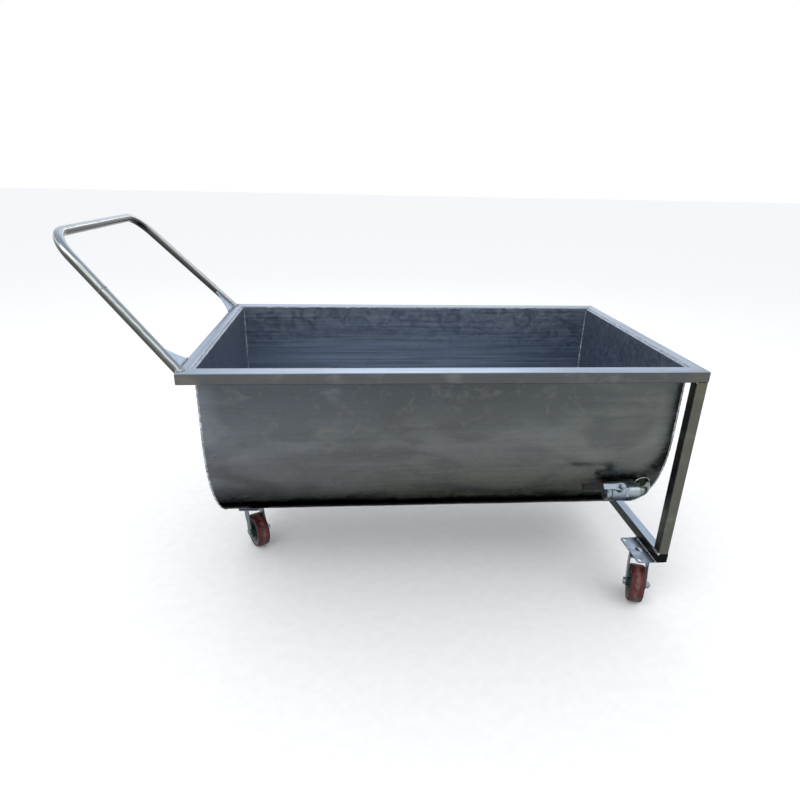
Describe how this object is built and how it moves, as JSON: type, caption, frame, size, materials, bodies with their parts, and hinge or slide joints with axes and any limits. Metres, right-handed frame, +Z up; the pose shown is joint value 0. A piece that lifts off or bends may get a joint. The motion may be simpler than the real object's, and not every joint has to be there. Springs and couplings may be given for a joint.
{
  "type": "feed cart",
  "caption": "Push cart with a U-bottomed sheet tub in a square-tube rim, a bent-tube handle, legs on a cross bar, swivel casters and a drain valve.",
  "frame": {"origin": "on the floor under the middle of the cart's outline", "axes": "+X along the cart from the handle end to the leg end, +Y from the drain valve's side to the other side, +Z up"},
  "size_m": [1.459, 0.764, 0.946],
  "materials": {
    "stainless_sheet": "smooth rolled stainless sheet",
    "stainless_tube": "satin stainless tube",
    "stainless_plate": "satin stainless plate",
    "polished_tube": "polished stainless tube",
    "polished_fitting": "polished stainless pipe fitting",
    "cast_stainless": "investment cast stainless",
    "zinc_plated_steel": "bright zinc plated pressed steel",
    "zinc_fastener": "zinc plated",
    "hardened_steel": "ground",
    "hub_plastic": "moulded",
    "red_polyurethane": "cast polyurethane, satin",
    "black_plastic": "moulded",
    "white_ptfe": "turned",
    "lever_steel": "pressed stainless",
    "lever_sleeve_vinyl": "dipped vinyl, worn black over red"
  },
  "bodies": {
    "cart": {"front_rail": "stainless_tube", "rear_rail": "stainless_tube", "handle_end_rail": "stainless_tube", "leg_end_rail": "stainless_tube", "front_leg": "stainless_tube", "rear_leg": "stainless_tube", "cross_bar": "stainless_tube", "front_end_plug": "black_plastic", "rear_end_plug": "black_plastic", "tub_sheet": "stainless_sheet", "handle_end_plate": "stainless_sheet", "leg_end_plate": "stainless_sheet", "push_handle": "polished_tube", "front_gusset": "stainless_plate", "rear_gusset": "stainless_plate", "caster_saddle": "stainless_plate", "drain_elbow": "polished_fitting", "drain_socket": "polished_fitting", "drain_nipple": "polished_fitting", "valve_body": "cast_stainless", "valve_outlet_end": "cast_stainless", "valve_seats": "white_ptfe", "valve_packing_nut": "zinc_fastener", "front_caster_plate": "zinc_plated_steel", "front_caster_upper_race": "zinc_plated_steel", "front_caster_kingpin": "zinc_plated_steel", "rear_caster_plate": "zinc_plated_steel", "rear_caster_upper_race": "zinc_plated_steel", "rear_caster_kingpin": "zinc_plated_steel", "handle_caster_plate": "zinc_plated_steel", "handle_caster_upper_race": "zinc_plated_steel", "handle_caster_kingpin": "zinc_plated_steel"},
    "front_swivel": {"front_caster_fork": "zinc_plated_steel", "front_caster_swivel_balls": "hardened_steel", "front_caster_axle_bolt": "zinc_fastener", "front_caster_axle_nut": "zinc_fastener", "front_caster_axle_sleeve": "hardened_steel"},
    "front_wheel": {"front_caster_wheel_hub": "hub_plastic", "front_caster_wheel_tread": "red_polyurethane"},
    "rear_swivel": {"rear_caster_fork": "zinc_plated_steel", "rear_caster_swivel_balls": "hardened_steel", "rear_caster_axle_bolt": "zinc_fastener", "rear_caster_axle_nut": "zinc_fastener", "rear_caster_axle_sleeve": "hardened_steel"},
    "rear_wheel": {"rear_caster_wheel_hub": "hub_plastic", "rear_caster_wheel_tread": "red_polyurethane"},
    "handle_swivel": {"handle_caster_fork": "zinc_plated_steel", "handle_caster_swivel_balls": "hardened_steel", "handle_caster_axle_bolt": "zinc_fastener", "handle_caster_axle_nut": "zinc_fastener", "handle_caster_axle_sleeve": "hardened_steel"},
    "handle_wheel": {"handle_caster_wheel_hub": "hub_plastic", "handle_caster_wheel_tread": "red_polyurethane"},
    "valve_key": {"valve_lever": "lever_steel", "valve_lever_sleeve": "lever_sleeve_vinyl", "valve_lever_nut": "zinc_fastener", "valve_stem": "hardened_steel", "valve_ball": "hardened_steel"}
  },
  "joints": [
    {"name": "front_swivel_turn", "type": "hinge", "parent": "cart", "child": "front_swivel", "pos_m": [0.6855, -0.295, 0.05], "axis": [0, 0, 1], "continuous": true},
    {"name": "front_wheel_spin", "type": "hinge", "parent": "front_swivel", "child": "front_wheel", "pos_m": [0.67127, -0.33023, 0.05], "axis": [0.9272, -0.3746, 0], "continuous": true},
    {"name": "rear_swivel_turn", "type": "hinge", "parent": "cart", "child": "rear_swivel", "pos_m": [0.6855, 0.295, 0.05], "axis": [0, 0, 1], "continuous": true},
    {"name": "rear_wheel_spin", "type": "hinge", "parent": "rear_swivel", "child": "rear_wheel", "pos_m": [0.67127, 0.33023, 0.05], "axis": [-0.9272, -0.3746, 0], "continuous": true},
    {"name": "handle_swivel_turn", "type": "hinge", "parent": "cart", "child": "handle_swivel", "pos_m": [-0.398, 0, 0.05], "axis": [0, 0, 1], "continuous": true},
    {"name": "handle_wheel_spin", "type": "hinge", "parent": "handle_swivel", "child": "handle_wheel", "pos_m": [-0.379, -0.03291, 0.05], "axis": [0.866, 0.5, 0], "continuous": true},
    {"name": "valve_turn", "type": "hinge", "parent": "cart", "child": "valve_key", "pos_m": [0.5785, -0.31008, 0.32476], "axis": [0, -0.7071, 0.7071], "range_deg": [0, 90]}
  ]
}
